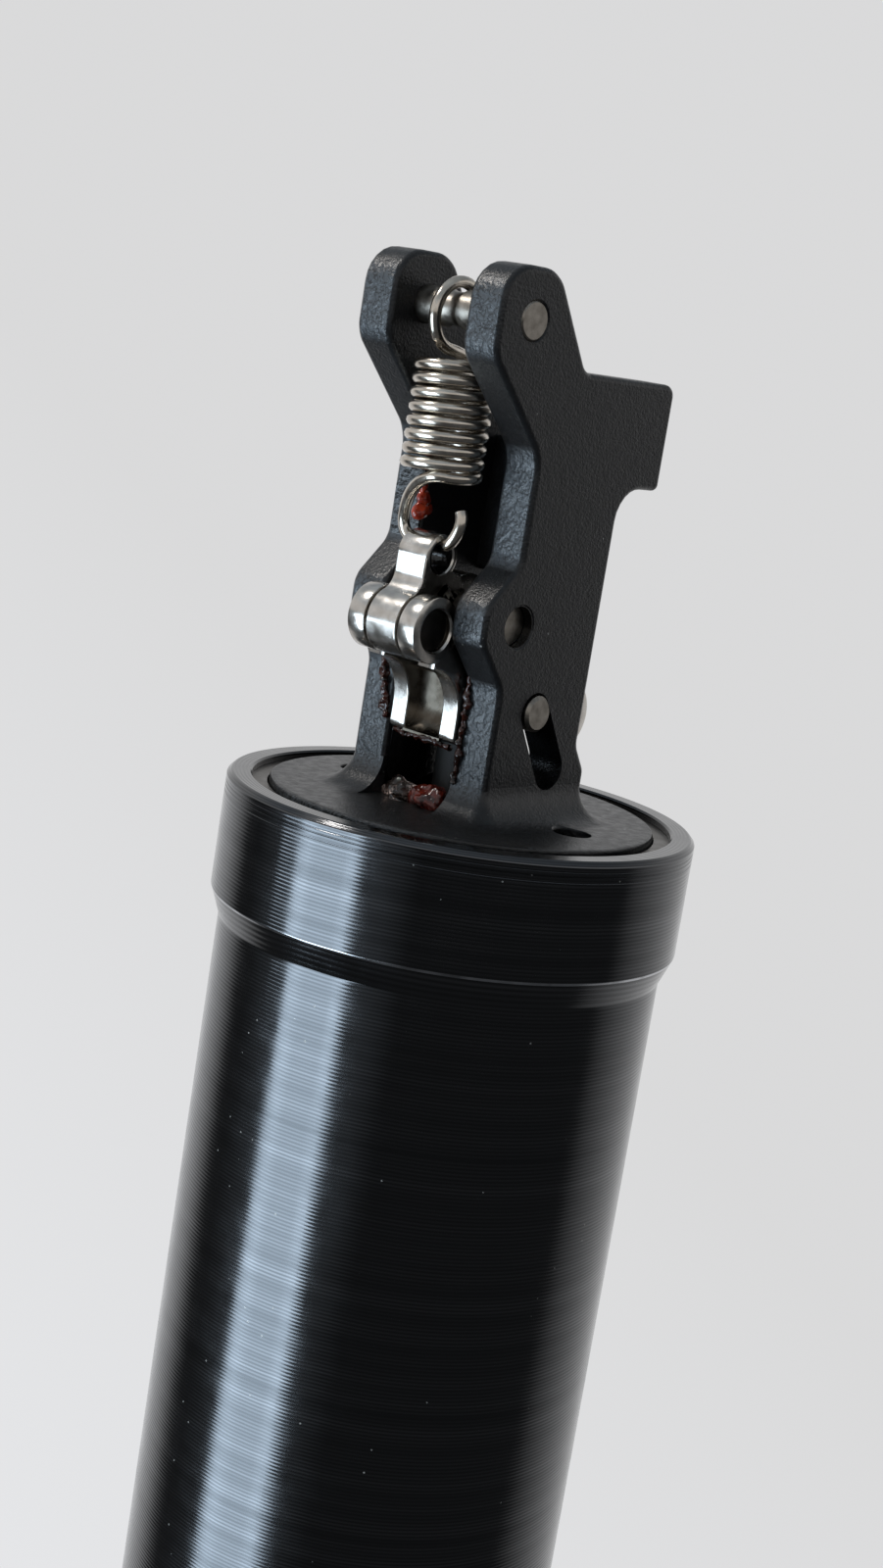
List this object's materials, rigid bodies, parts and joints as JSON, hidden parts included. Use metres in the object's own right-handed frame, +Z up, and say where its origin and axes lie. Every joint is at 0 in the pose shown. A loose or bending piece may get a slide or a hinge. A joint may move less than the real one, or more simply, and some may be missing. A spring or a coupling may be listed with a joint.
{
  "type": "dropper seatpost",
  "caption": "Telescoping bicycle seatpost with a saddle rail clamp on top and, at its foot, a cable-pulled bellcrank release with a return spring.",
  "frame": {"origin": "on the post axis, where the outer tube's shoulder rests on the seat tube's end", "axes": "+Z up along the post to the saddle, +X forward, +Y to the rider's left"},
  "size_m": [0.036, 0.0678, 0.3695],
  "materials": {
    "anodised_gloss": "gloss black anodised, fine turning marks",
    "anodised_matt": "matt black anodised, blasted grain",
    "bearing_plastic": "moulded bearing plastic",
    "black_plastic": "black acetal",
    "seal_rubber": "black nitrile",
    "bumper_rubber": "red polyurethane",
    "dark_steel": "blackened",
    "ground_steel": "ground",
    "spring_wire": "drawn stainless wire",
    "stainless": "satin, edges polished",
    "rod_chrome": "hard chrome",
    "plain_alloy": "machined",
    "key_brass": "machined"
  },
  "bodies": {
    "lower_tube": {"outer_tube": "anodised_gloss", "upper_bushing": "bearing_plastic", "seal_nut": "anodised_gloss", "wiper_seal": "seal_rubber", "actuator_bracket": "anodised_matt", "snap_ring": "dark_steel", "spring_pin": "ground_steel", "pivot_pin": "ground_steel", "return_spring": "spring_wire", "piston_rod": "rod_chrome", "piston": "plain_alloy", "piston_seal": "seal_rubber", "bottom_bumper": "bumper_rubber"},
    "post": {"stanchion": "anodised_gloss", "glide_ring": "bearing_plastic", "guide_keys": "key_brass", "seat_head": "anodised_matt", "cartridge_tube": "plain_alloy", "rod_guide": "plain_alloy", "rod_seal": "seal_rubber", "topout_bumper": "bumper_rubber", "cartridge_plug": "plain_alloy"},
    "floater": {"floating_piston": "plain_alloy", "floating_seal": "seal_rubber"},
    "clamp": {"inner_cheeks": "anodised_matt", "outer_cheeks": "anodised_matt", "clamp_bolt": "dark_steel", "clamp_nut": "dark_steel"},
    "lever": {"bellcrank": "stainless"},
    "link": {"push_link": "stainless", "link_pin": "dark_steel", "slot_pin": "ground_steel"},
    "release": {"release_plunger": "black_plastic", "release_rod": "ground_steel", "valve_poppet": "key_brass"},
    "anchor": {"cable_anchor": "stainless", "anchor_screw": "dark_steel"}
  },
  "joints": [
    {"name": "post_slide", "type": "slide", "parent": "lower_tube", "child": "post", "axis": [0, 0, 1], "range_m": [-0.1, 0], "stiffness_N_per_m": 200, "springref_m": 0.15},
    {"name": "floater_slide", "type": "slide", "parent": "post", "child": "floater", "axis": [0, 0, 1], "range_m": [0, 0.0223]},
    {"name": "saddle_tilt", "type": "hinge", "parent": "post", "child": "clamp", "pos_m": [0, 0, 0.148], "axis": [0, 1, 0], "range_deg": [-15, 15]},
    {"name": "bellcrank_pivot", "type": "hinge", "parent": "lower_tube", "child": "lever", "pos_m": [0.0043, 0, -0.1849], "axis": [0, -1, 0], "range_deg": [-1, 29.5], "deforming": ["return_spring"]},
    {"name": "link_hinge", "type": "hinge", "parent": "lever", "child": "link", "pos_m": [0.00865, 0, -0.184], "axis": [0, -1, 0], "range_deg": [-27.5, 1]},
    {"name": "release_slide", "type": "slide", "parent": "lower_tube", "child": "release", "axis": [0, 0, 1], "range_m": [0, 0.0017], "stiffness_N_per_m": 400, "springref_m": -0.0005},
    {"name": "anchor_swivel", "type": "hinge", "parent": "lever", "child": "anchor", "pos_m": [-0.0058, 0, -0.1784], "axis": [0, -1, 0], "range_deg": [-29.5, 1]}
  ],
  "couplings": [
    {"joint": "floater_slide", "follows": "post_slide", "ratio": -0.2215},
    {"joint": "link_hinge", "follows": "release_slide", "rad_per_m": -262.86},
    {"joint": "bellcrank_pivot", "follows": "release_slide", "rad_per_m": 285.71},
    {"joint": "anchor_swivel", "follows": "release_slide", "rad_per_m": -285.71}
  ]
}
